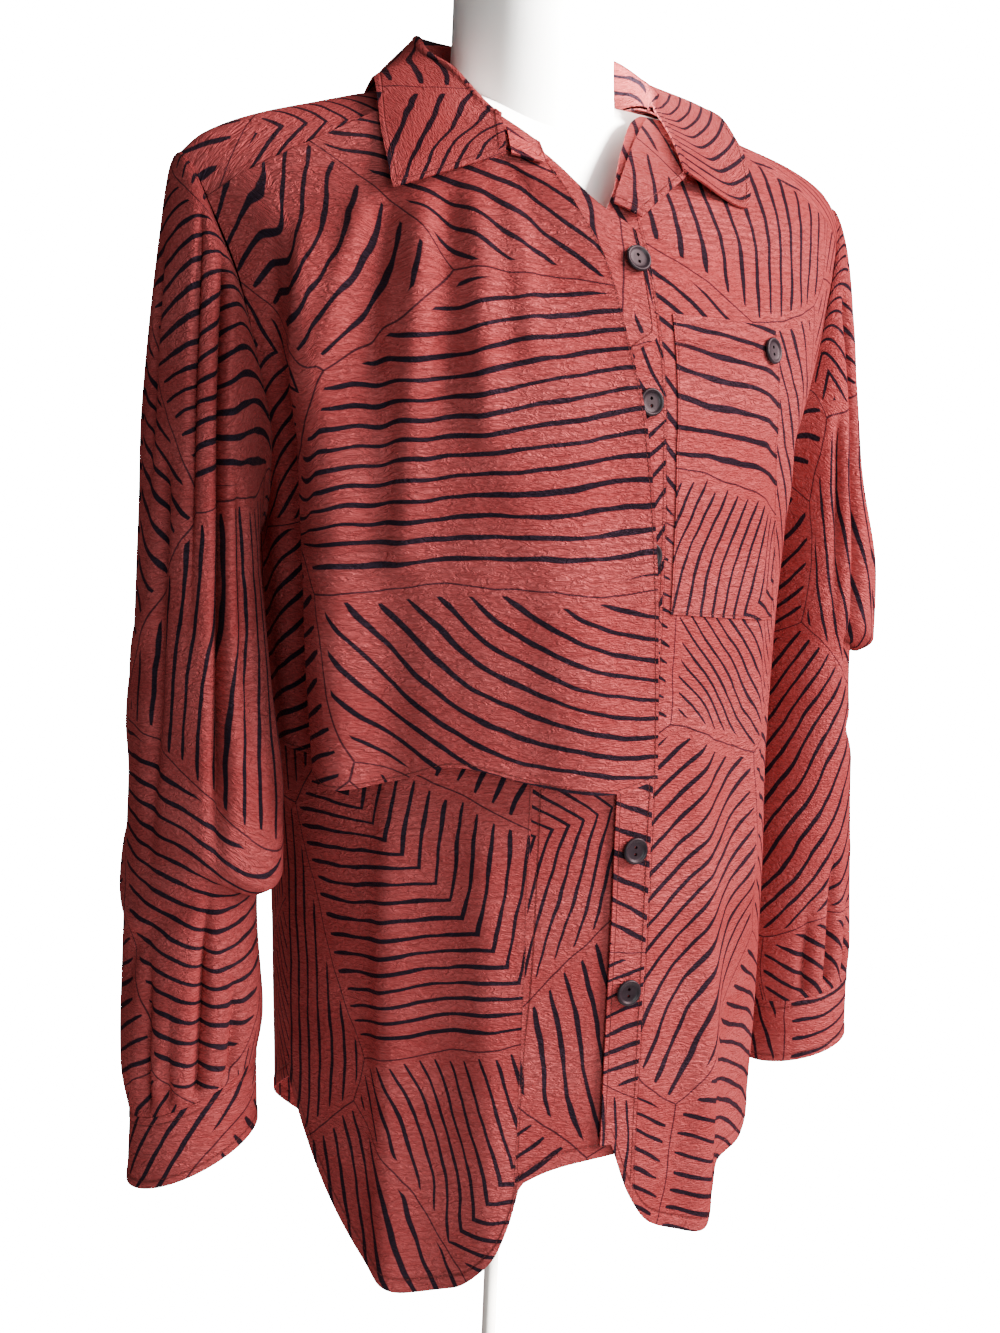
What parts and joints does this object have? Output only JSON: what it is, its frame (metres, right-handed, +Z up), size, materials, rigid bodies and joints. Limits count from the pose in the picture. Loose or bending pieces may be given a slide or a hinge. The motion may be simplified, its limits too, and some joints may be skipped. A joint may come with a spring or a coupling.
{
  "type": "blouse on dress form",
  "caption": "Loose long-sleeved blouse with notched collar, short loose front overlay and chest pocket, worn open at the neck on a limbless dress form with pole and round base",
  "frame": {"origin": "centre of the round base's underside, on the floor", "axes": "+Z up, -Y toward the front of the blouse, -X toward the wearer's right side; the wearer's left side is at +X"},
  "size_m": [0.557, 0.36, 1.518],
  "materials": {
    "rust_cloth": "sand-washed silky cloth with a soft sheen and a fine crinkle",
    "dark_button": "polished dark brown moulded resin",
    "form_white": "smooth white moulded shell",
    "pale_paint": "pale satin paint"
  },
  "bodies": {
    "root": {"back": "rust_cloth", "yoke": "rust_cloth", "right_front": "rust_cloth", "right_band": "rust_cloth", "left_front": "rust_cloth", "left_band": "rust_cloth", "overlay": "rust_cloth", "collar": "rust_cloth", "right_revers": "rust_cloth", "left_revers": "rust_cloth", "pocket": "rust_cloth", "right_sleeve": "rust_cloth", "left_sleeve": "rust_cloth", "right_cuff": "rust_cloth", "left_cuff": "rust_cloth", "button_1": "dark_button", "button_2": "dark_button", "button_3": "dark_button", "button_4": "dark_button", "button_5": "dark_button", "button_6": "dark_button", "pocket_button": "dark_button", "right_cuff_button": "dark_button", "left_cuff_button": "dark_button", "form_torso": "form_white", "form_pole": "pale_paint", "form_base": "pale_paint"}
  },
  "joints": []
}
